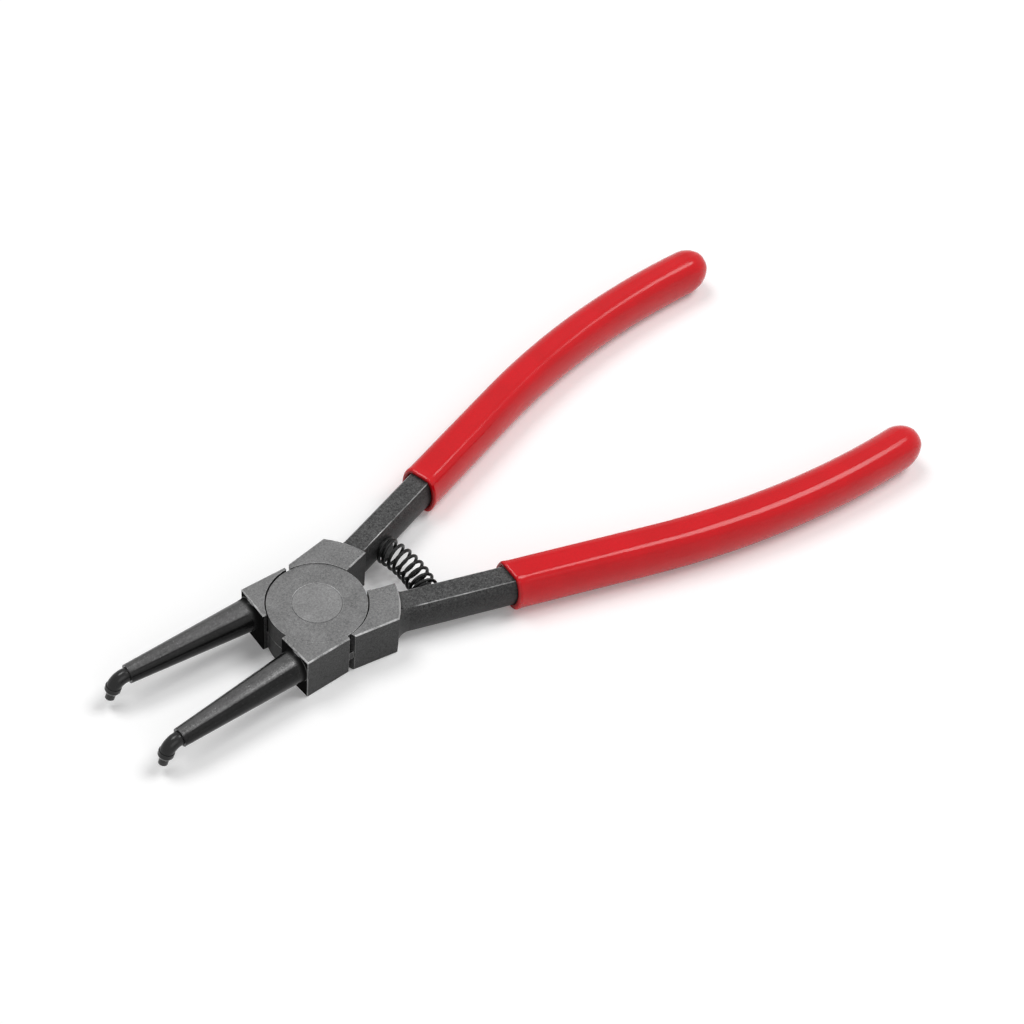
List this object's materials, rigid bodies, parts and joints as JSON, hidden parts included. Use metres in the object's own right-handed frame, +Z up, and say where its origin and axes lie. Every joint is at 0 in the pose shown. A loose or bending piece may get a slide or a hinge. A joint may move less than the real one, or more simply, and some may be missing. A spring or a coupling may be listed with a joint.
{
  "type": "circlip pliers",
  "caption": "Internal circlip pliers with tips bent down, forged halves crossing at a flush lap joint, a coil return spring and red dipped grips.",
  "frame": {"origin": "centre of the rivet's lower face, on the pivot axis", "axes": "+X from the tips towards the handles, +Z up along the rivet, the bent tips pointing to -Z"},
  "size_m": [0.2159, 0.0946, 0.0129],
  "materials": {
    "forged_steel": "dark grey phosphated, satin",
    "rivet_steel": "ground flush, satin",
    "tip_steel": "black oxide, semi-gloss",
    "spring_wire": "black, semi-gloss",
    "grip_coat": "glossy dipped coat"
  },
  "bodies": {
    "upper_half": {"half_a": "forged_steel", "pivot_rivet": "rivet_steel", "tip_a": "tip_steel", "spring_stud_a": "forged_steel", "grip_a": "grip_coat", "return_spring": "spring_wire"},
    "lower_half": {"half_b": "forged_steel", "tip_b": "tip_steel", "spring_stud_b": "forged_steel", "grip_b": "grip_coat"}
  },
  "joints": [
    {"name": "pivot", "type": "hinge", "parent": "upper_half", "child": "lower_half", "pos_m": [0, 0, 0.00615], "axis": [0, 0, 1], "range_deg": [0, 18], "stiffness_Nm_per_rad": 1.4, "springref_deg": -11.46, "deforming": ["return_spring"]}
  ]
}
